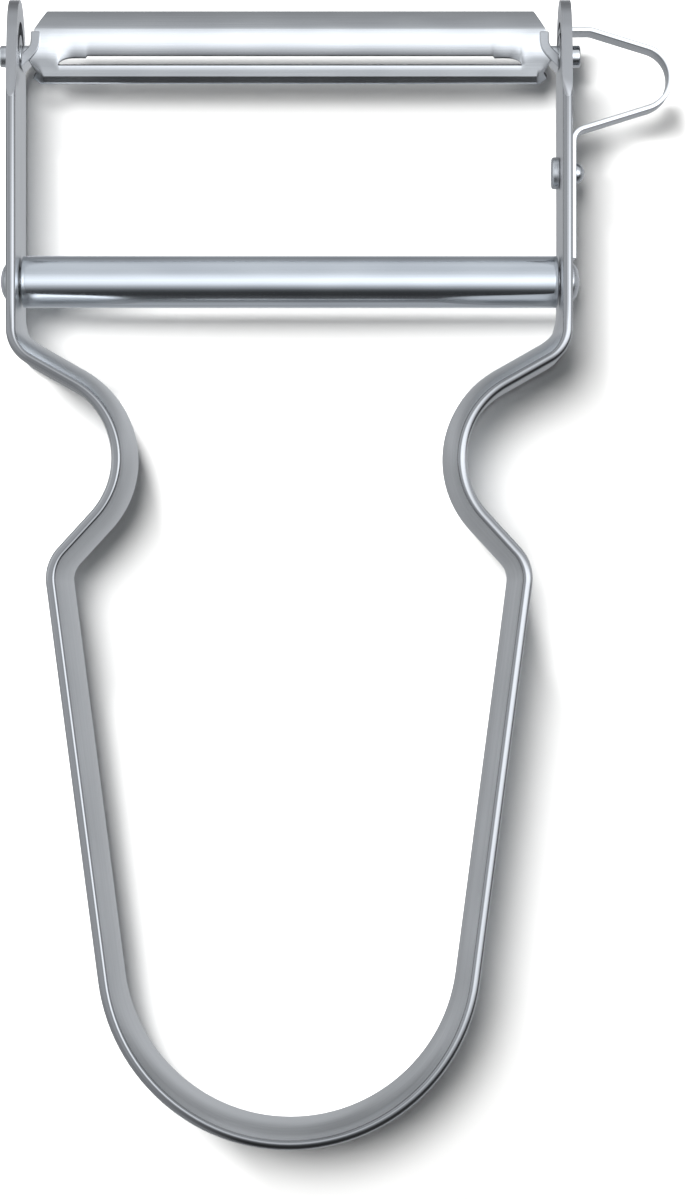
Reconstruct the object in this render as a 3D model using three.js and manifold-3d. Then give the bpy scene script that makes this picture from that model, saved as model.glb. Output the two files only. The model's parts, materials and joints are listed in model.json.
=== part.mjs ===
// Vegetable peeler: one bent aluminium strip carries a swivelling slotted blade, a spacer tube and a gouge.
// Millimetres. It lies on its back rim: Z up, Y from the round end towards the blade, X across.
// The origin is the middle of the rim's flat land at the round end.
import * as THREE from 'three';
import { mergeVertices } from 'three/addons/utils/BufferGeometryUtils.js';
import Module from 'manifold-3d';

const wasm = await Module();
wasm.setup();

// Strip that the frame is bent from
const stripWidth = 11.0;
const stripThickness = 1.0;
const rimChamfer = 0.3;
const gutterDepth = 1.25;
const gutterRunout = 3.0;

// Outline of the frame, on the outer edge of the rim. Heights are along Y from the round end.
const legSpan = 53.88;
const shoulderHeight = 75.36;
const shoulderRadius = 3.8;
const waistCornerHalf = 12.47;
const waistDrop = 8.19;
const waistRadius = 7.6;
const hipCornerHalf = 23.38;
const hipDrop = 11.92;
const hipRadius = 4.4;
const endRadius = 18.33;

// Ears at the ends of the legs
const legHeight = 28.79;
const earReach = 5.4;
const earTipRadius = 4.2;
const earRunout = 4.6;
const earSlotRadius = 2.68;
const earSlotWidth = 1.25;
const earSlotHalfAngle = 75;

// Blade, measured from its pivot line
const bladeThickness = 0.7;
const heelReach = 4.74;
const heelDrop = 1.94;
const heelBendReach = 3.6;
const heelBendDrop = 0.31;
const ridgeReach = 2.55;
const ridgeRise = 0.85;
const crownReach = 1.5;
const crownRise = 0.87;
const edgeReach = -0.05;
const edgeRise = 0.47;
const guideSetback = 0.92;
const guideRise = 0.52;
const guideCrease = 1.93;
const guideCreaseRise = 0.21;
const guideToe = 2.6;
const guideToeDrop = 0.34;
const bladeEndGap = 1.34;
const heelChamfer = 1.0;
const toeChamfer = 0.75;
const slotEndWall = 2.3;
const slotEndCurve = 2.2;
const slotShoulder = 0.2;
const groundEndSetback = 2.7;
const grindAngle = 35;

// Necks that join the blade to its pins
const neckThickness = 0.88;
const neckOverlap = 0.6;
const neckTop = 2.25;
const neckBend = 1.0;
const neckSlant = 43.5;
const neckRise = 1.3;
const neckDrop = 2.5;
const neckEarGap = 0.15;

// Pivot pins
const pinRadius = 1.05;
const pinStub = 1.0;
const pinRunningGap = 0.07;
const pinEdge = 0.15;

// Spacer tube and its rivet
const tubeRise = 7.07;
const tubeRadius = 2.5;
const tubeWall = 1.0;
const tubeEndPlay = 0.17;
const tubeEdge = 0.15;
const tubeRivetRadius = 1.25;
const tubeHeadRadius = 1.87;
const tubeHeadRise = 0.9;

// Eye gouge and its rivet
const gougeThickness = 0.5;
const gougeWidth = 3.4;
const gougeFootGap = 0.3;
const gougeRootDrop = 7.35;
const gougeRootRadius = 1.3;
const gougeSlope = 17.2;
const gougeTipRadius = 3.0;
const gougeShelf = 1.95;
const gougeShelfRadius = 1.5;
const gougeTabWidth = 2.6;
const gougeTabGap = 0.05;
const gougeRivetDrop = 3.9;
const gougeRivetRadius = 0.7;
const buttonRadius = 1.55;
const buttonRise = 0.72;
const buttonEdge = 0.25;
const gougeHeadRadius = 1.0;
const gougeHeadRise = 0.8;

// Clearances between pieces that are fastened together, and how far a cutter runs past what it cuts
const seatGap = 0.05;
const rivetHoleGap = 0.1;
const cutMargin = 3.0;

// How round the facets are
const roundSides = 32;
const pinSides = 24;
const bendStep = 8;
const domeSteps = 4;

// Places that follow from the sizes above
const middleHeight = stripWidth / 2;
const waistHeight = shoulderHeight - waistDrop;
const hipHeight = waistHeight - hipDrop;
const pivotHeight = shoulderHeight + legHeight;
const tubeHeight = shoulderHeight + tubeRise;
const gougeRootHeight = pivotHeight - gougeRootDrop;
const gougeRivetHeight = gougeRootHeight - gougeRivetDrop;
const legOuter = legSpan / 2;
const legInner = legOuter - stripThickness;
const bladeHalf = legInner - bladeEndGap;
const neckInner = bladeHalf - neckOverlap;
const neckOuter = neckInner + neckThickness;
const neckEnd = legInner - neckEarGap;
const gougeLine = legOuter + seatGap + gougeThickness / 2;
const gougeFace = legOuter + 2 * seatGap + gougeThickness;
const degrees = THREE.MathUtils.degToRad;

// A closed geometry becomes a solid. Faces that point inwards, as in a mirrored shape, are turned round.
function solidFrom(geometry) {
  const bare = geometry.clone();
  bare.deleteAttribute('normal');
  bare.deleteAttribute('uv');
  const merged = mergeVertices(bare, 1e-5);
  const places = merged.getAttribute('position').array;
  const corners = merged.getIndex().array;
  const triangles = [];
  let volume = 0;
  const a = new THREE.Vector3();
  const b = new THREE.Vector3();
  const c = new THREE.Vector3();
  for (let i = 0; i < corners.length; i += 3) {
    const [p, q, r] = [corners[i], corners[i + 1], corners[i + 2]];
    if (p === q || q === r || r === p) continue;
    triangles.push([p, q, r]);
    a.fromArray(places, 3 * p);
    b.fromArray(places, 3 * q);
    c.fromArray(places, 3 * r);
    volume += a.dot(b.cross(c));
  }
  if (volume < 0) triangles.forEach((triangle) => triangle.reverse());
  return new wasm.Manifold(new wasm.Mesh({
    numProp: 3,
    vertProperties: Float32Array.from(places),
    triVerts: Uint32Array.from(triangles.flat()),
  }));
}

// A solid becomes a geometry with flat facets.
function geometryFrom(solid) {
  const mesh = solid.getMesh();
  const shared = new THREE.BufferGeometry();
  shared.setAttribute('position', new THREE.BufferAttribute(Float32Array.from(mesh.vertProperties), 3));
  shared.setIndex(Array.from(mesh.triVerts));
  shared.computeVertexNormals();
  return shared;
}

// A shape drawn in plan (X, Y), standing from one height to another.
function standPlan(shape, low, high) {
  const geometry = new THREE.ExtrudeGeometry(shape, { depth: high - low, bevelEnabled: false });
  geometry.translate(0, 0, low);
  return solidFrom(geometry);
}

// A shape drawn from the side (Y, Z), running across from one X to another.
function runAcross(shape, from, to) {
  const geometry = new THREE.ExtrudeGeometry(shape, { depth: to - from, bevelEnabled: false });
  geometry.translate(0, 0, from);
  const across = new THREE.Matrix4().makeBasis(
    new THREE.Vector3(0, 1, 0),
    new THREE.Vector3(0, 0, 1),
    new THREE.Vector3(1, 0, 0),
  );
  geometry.applyMatrix4(across);
  return solidFrom(geometry);
}

// A turned piece on a line along X: its profile is a list of [x, radius].
function turnAcross(profile, height, sides) {
  const points = profile.map(([x, radius]) => new THREE.Vector2(radius, x));
  const geometry = new THREE.LatheGeometry(points, sides);
  geometry.rotateZ(-Math.PI / 2);
  geometry.translate(0, height, middleHeight);
  return solidFrom(geometry);
}

function roundHole(height, radius, from, to) {
  return turnAcross([[from, 0], [from, radius], [to, radius], [to, 0]], height, pinSides);
}

// A line of corners with a radius at each becomes stations: places with the normal on the line's right hand.
function filletedLine(corners) {
  const stations = [];
  const directions = [];
  for (let i = 0; i + 1 < corners.length; i += 1) {
    directions.push(corners[i + 1].at.clone().sub(corners[i].at).normalize());
  }
  const rightOf = (direction) => new THREE.Vector2(direction.y, -direction.x);
  stations.push({ at: corners[0].at.clone(), normal: rightOf(directions[0]), corner: 0 });
  for (let i = 1; i + 1 < corners.length; i += 1) {
    const before = directions[i - 1];
    const after = directions[i];
    const turn = Math.atan2(before.cross(after), before.dot(after));
    const side = Math.sign(turn);
    const radius = corners[i].radius;
    const start = corners[i].at.clone().addScaledVector(before, -radius * Math.tan(Math.abs(turn) / 2));
    const firstNormal = rightOf(before);
    const centre = start.clone().addScaledVector(firstNormal, -side * radius);
    const steps = Math.max(2, Math.ceil(Math.abs(turn) / degrees(bendStep)));
    for (let step = 0; step <= steps; step += 1) {
      const normal = firstNormal.clone().rotateAround(new THREE.Vector2(), (turn * step) / steps);
      stations.push({ at: centre.clone().addScaledVector(normal, side * radius), normal, corner: i });
    }
  }
  const last = corners[corners.length - 1].at.clone();
  stations.push({ at: last, normal: rightOf(directions[directions.length - 1]), corner: corners.length - 1 });
  return stations;
}

// A strip through the stations. Each section is a loop of [inset from the line, height].
function stripThrough(stations, sectionAt) {
  const places = [];
  const triangles = [];
  const loops = stations.map((station) => sectionAt(station));
  const count = loops[0].length;
  stations.forEach(({ at, normal }, i) => {
    for (const [inset, height] of loops[i]) {
      places.push(at.x - normal.x * inset, at.y - normal.y * inset, height);
    }
  });
  for (let i = 0; i + 1 < stations.length; i += 1) {
    for (let j = 0; j < count; j += 1) {
      const next = (j + 1) % count;
      const [a, b, c, d] = [i * count + j, i * count + next, (i + 1) * count + next, (i + 1) * count + j];
      triangles.push(a, b, c, a, c, d);
    }
  }
  const endFaces = (loop) => THREE.ShapeUtils.triangulateShape(loop.map(([u, v]) => new THREE.Vector2(u, v)), []);
  const lastStart = (stations.length - 1) * count;
  const flip = THREE.ShapeUtils.isClockWise(loops[0].map(([u, v]) => new THREE.Vector2(u, v)));
  for (const [a, b, c] of endFaces(loops[0])) {
    triangles.push(...(flip ? [a, b, c] : [c, b, a]));
  }
  for (const [a, b, c] of endFaces(loops[loops.length - 1])) {
    const far = flip ? [c, b, a] : [a, b, c];
    triangles.push(...far.map((corner) => corner + lastStart));
  }
  const geometry = new THREE.BufferGeometry();
  geometry.setAttribute('position', new THREE.Float32BufferAttribute(places, 3));
  geometry.setIndex(triangles);
  return solidFrom(geometry);
}

// Quarter of a dome, from its foot to its top.
function dome(foot, radius, rise, out) {
  const profile = [];
  for (let step = 0; step <= domeSteps; step += 1) {
    const angle = (Math.PI / 2) * (step / domeSteps);
    const isTop = step === domeSteps;
    profile.push([foot + out * rise * Math.sin(angle), isTop ? 0 : radius * Math.cos(angle)]);
  }
  return profile;
}

// Right half of the frame's outline, from the round end up to the ear. The side is tangent to the round end.
function frameHalf() {
  const endLow = -stripThickness / 2;
  const hip = new THREE.Vector2(hipCornerHalf, hipHeight);
  const fromCentre = hip.clone().sub(new THREE.Vector2(0, endLow + endRadius));
  const tangentAngle = fromCentre.angle() - Math.acos(endRadius / fromCentre.length());
  const endTurn = tangentAngle + Math.PI / 2;
  return filletedLine([
    { at: new THREE.Vector2(0, endLow) },
    { at: new THREE.Vector2(endRadius * Math.tan(endTurn / 2), endLow), radius: endRadius },
    { at: hip, radius: hipRadius },
    { at: new THREE.Vector2(waistCornerHalf, waistHeight), radius: waistRadius },
    { at: new THREE.Vector2(legOuter, shoulderHeight), radius: shoulderRadius },
    { at: new THREE.Vector2(legOuter, pivotHeight + earReach + cutMargin) },
  ]);
}

// The gutter is full in the handle, fades through the shoulder and is gone on the flat legs.
function withGutter(half) {
  const shoulder = half.filter((station) => station.corner === 4);
  const fadeStart = shoulder[0].at.y;
  const shoulderEnd = shoulder[shoulder.length - 1];
  const fadeEnd = shoulderEnd.at.y + gutterRunout;
  const runout = [1, 2, 3].map((step) => ({
    ...shoulderEnd,
    at: new THREE.Vector2(shoulderEnd.at.x, shoulderEnd.at.y + (gutterRunout * step) / 3),
  }));
  const full = [...half.slice(0, -1), ...runout, half[half.length - 1]];
  return full.map((station) => {
    const fade = station.corner < 4 ? 0 : THREE.MathUtils.smoothstep(station.at.y, fadeStart, fadeEnd);
    return { ...station, gutter: gutterDepth * (1 - fade) };
  });
}

function stripSection({ gutter }) {
  const reach = middleHeight - rimChamfer;
  const faceSteps = [-1, -0.55, 0, 0.55, 1];
  const sag = (share) => gutter * (1 - share * share);
  const outer = faceSteps.map((share) => [sag(share), middleHeight + share * reach]);
  const inner = faceSteps.map((share) => [stripThickness + sag(share), middleHeight + share * reach]);
  return [
    ...outer,
    [rimChamfer, stripWidth],
    [stripThickness - rimChamfer, stripWidth],
    ...inner.reverse(),
    [stripThickness - rimChamfer, 0],
    [rimChamfer, 0],
  ];
}

// What is punched away around an ear: everything outside a tapered tongue with a round tip.
function earScrap() {
  const tip = new THREE.Vector2(pivotHeight + earReach - earTipRadius, middleHeight);
  const corner = new THREE.Vector2(pivotHeight - earRunout, stripWidth);
  const toTip = tip.clone().sub(corner);
  const tangent = Math.atan2(toTip.y, toTip.x) + Math.asin(earTipRadius / toTip.length());
  const slope = new THREE.Vector2(Math.cos(tangent), Math.sin(tangent));
  const outside = corner.clone().addScaledVector(slope, -cutMargin / Math.abs(slope.y));
  const arcStart = tangent + Math.PI / 2;
  const far = pivotHeight + earReach + 2 * cutMargin;
  const mirrored = (height) => 2 * middleHeight - height;
  const scrap = new THREE.Shape();
  scrap.moveTo(far, outside.y);
  scrap.lineTo(outside.x, outside.y);
  scrap.absarc(tip.x, tip.y, earTipRadius, arcStart, -arcStart, true);
  scrap.lineTo(outside.x, mirrored(outside.y));
  scrap.lineTo(far, mirrored(outside.y));
  return scrap;
}

// Kidney slot round the pivot hole.
function earSlot() {
  const half = degrees(earSlotHalfAngle);
  const outer = earSlotRadius + earSlotWidth / 2;
  const inner = earSlotRadius - earSlotWidth / 2;
  const endAt = (angle) => [
    pivotHeight + earSlotRadius * Math.cos(angle),
    middleHeight + earSlotRadius * Math.sin(angle),
  ];
  const slot = new THREE.Shape();
  slot.absarc(pivotHeight, middleHeight, outer, -half, half, false);
  slot.absarc(...endAt(half), earSlotWidth / 2, half, half + Math.PI, false);
  slot.absarc(pivotHeight, middleHeight, inner, half, -half, true);
  slot.absarc(...endAt(-half), earSlotWidth / 2, Math.PI - half, 2 * Math.PI - half, false);
  return slot;
}

function makeHandleStrap() {
  const right = withGutter(frameHalf());
  const left = right.slice(1).reverse().map((station) => ({
    ...station,
    at: new THREE.Vector2(-station.at.x, station.at.y),
    normal: new THREE.Vector2(-station.normal.x, station.normal.y),
  }));
  const past = legOuter + cutMargin;
  return stripThrough([...left, ...right], stripSection)
    .subtract(runAcross(earScrap(), -past, past))
    .subtract(runAcross(earSlot(), -past, past))
    .subtract(roundHole(pivotHeight, pinRadius + pinRunningGap, -past, past))
    .subtract(roundHole(tubeHeight, tubeRivetRadius + rivetHoleGap, -past, past))
    .subtract(roundHole(gougeRivetHeight, gougeRivetRadius + rivetHoleGap, 0, past));
}

// The blade's sheet from heel to toe, as [reach from the pivot line, rise above it] on its outer face.
const bladeFace = [
  [heelReach, -heelDrop],
  [heelBendReach, -heelBendDrop],
  [ridgeReach, ridgeRise],
  [crownReach, crownRise],
  [edgeReach, edgeRise],
  [-guideSetback, guideRise],
  [-guideCrease, guideCreaseRise],
  [-guideToe, -guideToeDrop],
];

function bladeSection() {
  const outer = bladeFace.map(([reach, rise]) => new THREE.Vector2(pivotHeight + reach, middleHeight + rise));
  const inner = outer.map((point, i) => {
    const before = outer[Math.max(i - 1, 0)];
    const after = outer[Math.min(i + 1, outer.length - 1)];
    const run = after.clone().sub(before).normalize();
    return point.clone().addScaledVector(new THREE.Vector2(-run.y, run.x), bladeThickness);
  });
  return new THREE.Shape([...outer, ...inner.reverse()]);
}

// Plan of the blade's sheet: square ends with the heel and toe corners cut off.
function bladePlan() {
  const heelSlope = heelChamfer / (heelReach - ridgeReach);
  const toeSlope = toeChamfer / (guideToe - guideCrease);
  const half = [
    [bladeHalf - heelSlope * (heelReach - ridgeReach + cutMargin), heelReach + cutMargin],
    [bladeHalf, ridgeReach],
    [bladeHalf, -guideCrease],
    [bladeHalf - toeSlope * (guideToe - guideCrease + cutMargin), -guideToe - cutMargin],
  ];
  const points = [...half, ...half.map(([x, y]) => [-x, y]).reverse()];
  return new THREE.Shape(points.map(([x, y]) => new THREE.Vector2(x, pivotHeight + y)));
}

// Plan of the slot between cutting edge and guide, with curved ends.
function slotPlan() {
  const end = bladeHalf - slotEndWall;
  const straight = end - slotEndCurve;
  const low = pivotHeight - guideSetback;
  const high = pivotHeight + edgeReach - slotShoulder;
  const plan = new THREE.Shape();
  plan.moveTo(-end, low);
  plan.lineTo(end, low);
  plan.quadraticCurveTo(end - slotEndCurve / 3, high, straight, high);
  plan.lineTo(-straight, high);
  plan.quadraticCurveTo(-end + slotEndCurve / 3, high, -end, low);
  return plan;
}

// Side view of the cut that grinds the slot's far edge sharp from inside the arch.
function grindCut() {
  const depth = bladeThickness + cutMargin;
  const back = depth * Math.tan(degrees(grindAngle));
  const points = [
    [-guideSetback, edgeRise - depth],
    [edgeReach + back, edgeRise - depth],
    [edgeReach, edgeRise],
    [edgeReach, edgeRise + depth],
    [-guideSetback, edgeRise + depth],
  ];
  return new THREE.Shape(points.map(([y, z]) => new THREE.Vector2(pivotHeight + y, middleHeight + z)));
}

// Outer face of a right-hand neck in plan, down to the ear, moved out by a gap.
function neckFace(gap) {
  const slant = degrees(neckSlant);
  const out = neckOuter + gap;
  const stop = neckEnd + gap;
  const bend = neckBend + gap * Math.tan(slant / 2);
  return [[out, neckTop], [out, bend], [stop, bend - (stop - out) / Math.tan(slant)]];
}

function neckPlan() {
  const slant = degrees(neckSlant);
  const face = neckFace(0);
  const innerBend = neckBend - neckThickness * Math.tan(slant / 2);
  const innerStop = innerBend - (neckEnd - neckInner) / Math.tan(slant);
  const points = [...face, [neckEnd, innerStop], [neckInner, innerBend], [neckInner, neckTop]];
  return new THREE.Shape(points.map(([x, y]) => new THREE.Vector2(x, pivotHeight + y)));
}

const mirrorAcross = (solid) => solid.mirror([1, 0, 0]);

function makeBlade() {
  const low = middleHeight - neckDrop;
  const high = middleHeight + neckRise;
  const groundHalf = bladeHalf - slotEndWall - groundEndSetback;
  const neck = standPlan(neckPlan(), low, high);
  return runAcross(bladeSection(), -legInner, legInner)
    .intersect(standPlan(bladePlan(), -cutMargin, stripWidth + cutMargin))
    .subtract(standPlan(slotPlan(), -cutMargin, stripWidth + cutMargin))
    .subtract(runAcross(grindCut(), -groundHalf, groundHalf))
    .add(neck)
    .add(mirrorAcross(neck));
}

// A pin with a flat, slightly broken outer end. Its inner end is shaped to the neck that it is fixed to.
function makePin() {
  const stubEnd = legOuter + pinStub;
  const rod = turnAcross([
    [neckInner, 0],
    [neckInner, pinRadius],
    [stubEnd - pinEdge, pinRadius],
    [stubEnd, pinRadius - pinEdge],
    [stubEnd, 0],
  ], pivotHeight, pinSides);
  const face = neckFace(seatGap);
  const stop = face[2][0];
  const behind = [
    ...face,
    [stop, -cutMargin],
    [neckInner - cutMargin, -cutMargin],
    [neckInner - cutMargin, neckTop],
  ];
  const neckSide = new THREE.Shape(behind.map(([x, y]) => new THREE.Vector2(x, pivotHeight + y)));
  return rod.subtract(standPlan(neckSide, -cutMargin, stripWidth + cutMargin));
}

function makeSpacerTube() {
  const end = legInner - tubeEndPlay;
  const bore = tubeRadius - tubeWall;
  return turnAcross([
    [-end, bore],
    [-end, tubeRadius - tubeEdge],
    [-end + tubeEdge, tubeRadius],
    [end - tubeEdge, tubeRadius],
    [end, tubeRadius - tubeEdge],
    [end, bore],
    [-end, bore],
  ], tubeHeight, roundSides);
}

function makeTubeRivet() {
  const foot = legOuter + seatGap;
  return turnAcross([
    ...dome(-foot, tubeHeadRadius, tubeHeadRise, -1).reverse(),
    [-foot, tubeRivetRadius],
    [foot, tubeRivetRadius],
    ...dome(foot, tubeHeadRadius, tubeHeadRise, 1),
  ], tubeHeight, pinSides);
}

function makeGougeRivet() {
  const seat = legInner - seatGap;
  return turnAcross([
    [seat - buttonRise, 0],
    [seat - buttonRise, buttonRadius - buttonEdge],
    [seat - buttonRise + buttonEdge, buttonRadius],
    [seat, buttonRadius],
    [seat, gougeRivetRadius],
    [gougeFace, gougeRivetRadius],
    ...dome(gougeFace, gougeHeadRadius, gougeHeadRise, 1),
  ], gougeRivetHeight, pinSides);
}

// The gouge's strip: up the leg, out to the round tip, back to a shelf and a narrow tab in the ear's slot.
function makeEyeGouge() {
  const slope = Math.tan(degrees(gougeSlope));
  const tabHeight = pivotHeight + earSlotRadius - earSlotWidth / 2 + gougeTabGap + gougeThickness / 2;
  const shelfEnd = legOuter + gougeShelf;
  const apexOut = (tabHeight - gougeRootHeight + slope * (gougeLine + shelfEnd)) / (2 * slope);
  const apexHeight = gougeRootHeight + slope * (apexOut - gougeLine);
  const line = filletedLine([
    { at: new THREE.Vector2(gougeLine, tubeHeight + tubeHeadRadius + gougeFootGap) },
    { at: new THREE.Vector2(gougeLine, gougeRootHeight), radius: gougeRootRadius },
    { at: new THREE.Vector2(apexOut, apexHeight), radius: gougeTipRadius },
    { at: new THREE.Vector2(shelfEnd, tabHeight), radius: gougeShelfRadius },
    { at: new THREE.Vector2(legInner, tabHeight) },
  ]);
  const halfThick = gougeThickness / 2;
  const halfWide = gougeWidth / 2;
  const strip = stripThrough(line, () => [
    [-halfThick, middleHeight - halfWide],
    [-halfThick, middleHeight + halfWide],
    [halfThick, middleHeight + halfWide],
    [halfThick, middleHeight - halfWide],
  ]);
  const shoulder = legOuter + seatGap;
  const corner = new THREE.Shape([
    new THREE.Vector2(legInner - cutMargin, tabHeight - gougeThickness),
    new THREE.Vector2(shoulder, tabHeight - gougeThickness),
    new THREE.Vector2(shoulder, tabHeight + gougeThickness),
    new THREE.Vector2(legInner - cutMargin, tabHeight + gougeThickness),
  ]);
  const tabSide = gougeTabWidth / 2;
  return strip
    .subtract(standPlan(corner, middleHeight + tabSide, middleHeight + halfWide + cutMargin))
    .subtract(standPlan(corner, middleHeight - halfWide - cutMargin, middleHeight - tabSide))
    .subtract(roundHole(gougeRivetHeight, gougeRivetRadius + rivetHoleGap, legInner, gougeFace + cutMargin));
}

const satinAluminium = { color: 0xa9acb1, roughness: 0.42, metalness: 1.0 };
const polishedSteel = { color: 0xcfd2d6, roughness: 0.18, metalness: 1.0 };
const rivetSteel = { color: 0xb4b7bb, roughness: 0.32, metalness: 1.0 };

const peeler = new THREE.Group();

function addPiece(name, solid, finish) {
  const piece = new THREE.Mesh(geometryFrom(solid), new THREE.MeshStandardMaterial(finish));
  piece.name = name;
  peeler.add(piece);
}

const rightPin = makePin();
addPiece('handle_strap', makeHandleStrap(), satinAluminium);
addPiece('peeling_blade', makeBlade(), polishedSteel);
addPiece('pivot_pin_left', mirrorAcross(rightPin), polishedSteel);
addPiece('pivot_pin_right', rightPin, polishedSteel);
addPiece('spacer_tube', makeSpacerTube(), polishedSteel);
addPiece('tube_rivet', makeTubeRivet(), rivetSteel);
addPiece('eye_gouge', makeEyeGouge(), polishedSteel);
addPiece('gouge_rivet', makeGougeRivet(), rivetSteel);

export default peeler;
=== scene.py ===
# %% [markdown]
# # A peeler bent from one strip
# The real peeler is eight pieces: an aluminium strip bent into a frame, a slotted steel blade on
# two pins, a bright tube on a long rivet, and a thin steel loop on a short rivet. This lesson
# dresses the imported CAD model. The model fixes where every piece is and how it moves. Here each
# piece gets its rounded edges, its bends and its finish.

# %% Load the frame
import json
import math

import bmesh
import bpy
from mathutils import Matrix, Vector


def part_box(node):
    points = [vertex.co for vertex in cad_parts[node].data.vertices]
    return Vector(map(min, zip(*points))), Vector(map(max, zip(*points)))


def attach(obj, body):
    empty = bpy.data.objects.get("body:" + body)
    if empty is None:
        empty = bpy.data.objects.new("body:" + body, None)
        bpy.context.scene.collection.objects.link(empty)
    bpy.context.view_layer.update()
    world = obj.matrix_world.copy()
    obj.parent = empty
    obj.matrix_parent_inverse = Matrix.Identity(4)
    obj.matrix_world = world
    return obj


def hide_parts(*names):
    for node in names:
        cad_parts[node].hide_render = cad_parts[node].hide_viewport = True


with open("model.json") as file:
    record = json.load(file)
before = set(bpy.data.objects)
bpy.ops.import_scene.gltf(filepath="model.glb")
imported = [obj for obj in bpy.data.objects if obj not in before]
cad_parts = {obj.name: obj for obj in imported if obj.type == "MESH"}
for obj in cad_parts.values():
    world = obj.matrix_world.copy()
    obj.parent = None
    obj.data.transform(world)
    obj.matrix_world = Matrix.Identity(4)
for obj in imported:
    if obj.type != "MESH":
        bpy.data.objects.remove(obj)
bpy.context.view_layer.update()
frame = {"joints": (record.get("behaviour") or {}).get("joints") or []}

# %% [markdown]
# ## Places that the frame gives
# The frame is in metres, but a maker thinks of a peeler in millimetres. So every piece is made in
# millimetres on the bench and scaled once, when it is finished. Bevels and boolean cuts are also
# more exact at that size. The blade's line, the tube's line and the strip's width come from the
# frame itself.

# %% Places
MM = 0.001


def in_mm(point):
    return Vector(point) / MM


joint_at = {joint["name"]: in_mm(joint["pos_m"]) for joint in frame["joints"]}
pivot_height = joint_at["blade_swivel"].y
middle_height = joint_at["blade_swivel"].z
tube_height = joint_at["tube_spin"].y
strip_width = in_mm(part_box("handle_strap")[1]).z
leg_outer = in_mm(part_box("handle_strap")[1]).x
strip_thickness = 1.0
leg_inner = leg_outer - strip_thickness
seat_gap = 0.05
print("pivot at", round(pivot_height, 2), "mm, tube at", round(tube_height, 2), "mm")
print("outer faces of the legs at", round(leg_outer, 2), "mm")

# %% [markdown]
# ## A small bench
# Five helpers do the work of a bench. One links a mesh as an object, one turns an object's
# modifiers into a plain mesh, one cuts a piece with a tool, one makes a prism to cut with, and one
# eases sharp edges. A boolean modifier is the plain way to punch a hole. The exact solver is slower
# than the fast one, but it doesn't leave gaps where the faces nearly touch.

# %% Bench helpers
def place_on_bench(name, mesh):
    thing = bpy.data.objects.new(name, mesh)
    bpy.context.scene.collection.objects.link(thing)
    return thing


def settle(thing):
    bpy.context.view_layer.update()
    graph = bpy.context.evaluated_depsgraph_get()
    mesh = bpy.data.meshes.new_from_object(thing.evaluated_get(graph))
    thing.modifiers.clear()
    thing.data = mesh
    return thing


def combine(thing, tool, operation="DIFFERENCE"):
    modifier = thing.modifiers.new("Combine", "BOOLEAN")
    modifier.operation = operation
    modifier.solver = "EXACT"
    modifier.object = tool
    settle(thing)
    bpy.data.objects.remove(tool)
    return thing


def ease_edges(thing, width, sharper_than=50, segments=2):
    modifier = thing.modifiers.new("Ease", "BEVEL")
    modifier.width = width
    modifier.segments = segments
    modifier.limit_method = "ANGLE"
    modifier.angle_limit = math.radians(sharper_than)
    modifier.use_clamp_overlap = False
    return settle(thing)


def prism(points, low, high, along):
    """A closed prism: points are (y, z) for along="X" and (x, y) for along="Z"."""
    shape = bmesh.new()
    where = {"X": lambda u, v, h: (h, u, v), "Z": lambda u, v, h: (u, v, h)}[along]
    bottom = [shape.verts.new(where(u, v, low)) for u, v in points]
    top = [shape.verts.new(where(u, v, high)) for u, v in points]
    shape.faces.new(bottom)
    shape.faces.new(top)
    for i in range(len(points)):
        j = (i + 1) % len(points)
        shape.faces.new((bottom[i], bottom[j], top[j], top[i]))
    bmesh.ops.recalc_face_normals(shape, faces=shape.faces)
    mesh = bpy.data.meshes.new("prism")
    shape.to_mesh(mesh)
    shape.free()
    return place_on_bench("prism", mesh)


# %% [markdown]
# ## Lines with round bends
# Strip work is drawn as a line of corners with a bend radius at each. One function turns such a
# line into points and the normals on its right-hand side. The same function rounds the corners of a
# turned profile, so a bend, a rim and an eased edge are all drawn alike.

# %% Round bends
BEND_STEP = 4.0


def arc(centre, radius, start, turn, step=BEND_STEP):
    count = max(2, math.ceil(abs(turn) / math.radians(step)))
    angles = [start + turn * i / count for i in range(count + 1)]
    return [
        Vector((centre[0] + radius * math.cos(a), centre[1] + radius * math.sin(a)))
        for a in angles
    ]


def bent_line(corners, step=BEND_STEP):
    """Stations of (point, right-hand normal, corner number) along corners of (x, y, bend radius)."""
    places = [Vector(corner[:2]) for corner in corners]
    runs = [(b - a).normalized() for a, b in zip(places, places[1:])]
    stations = [(places[0], Vector((runs[0].y, -runs[0].x)), 0)]
    for i in range(1, len(corners) - 1):
        before, after = runs[i - 1], runs[i]
        turn = math.atan2(before.x * after.y - before.y * after.x, before.dot(after))
        side = math.copysign(1, turn)
        radius = corners[i][2]
        normal = Vector((before.y, -before.x))
        start = places[i] - before * radius * math.tan(abs(turn) / 2)
        centre = start - normal * side * radius
        first = math.atan2(normal.y * side, normal.x * side)
        for point in arc(centre, radius, first, turn, step):
            stations.append((point, (point - centre) * side / radius, i))
    stations.append((places[-1], Vector((runs[-1].y, -runs[-1].x)), len(corners) - 1))
    return stations


def rounded(corners, step=18):
    return [(point.x, point.y) for point, normal, corner in bent_line(corners, step)]


def chain(name, points, closed=False, height=0.0):
    """A mesh of edges only, which Geometry Nodes can read as a curve."""
    mesh = bpy.data.meshes.new(name)
    edges = [(i, i + 1) for i in range(len(points) - 1)]
    if closed:
        edges.append((len(points) - 1, 0))
    mesh.from_pydata([(p[0], p[1], height) for p in points], edges, [])
    return place_on_bench(name, mesh)


print("a quarter bend has", len(arc((0.0, 0.0), 1.0, 0.0, math.pi / 2)), "points")

# %% [markdown]
# ## One way to add a node
# Materials and Geometry Nodes are both node trees. One small function adds a node, sets its
# properties, and fills each input with either a value or a link, so that a tree reads as a list of
# its nodes.

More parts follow.
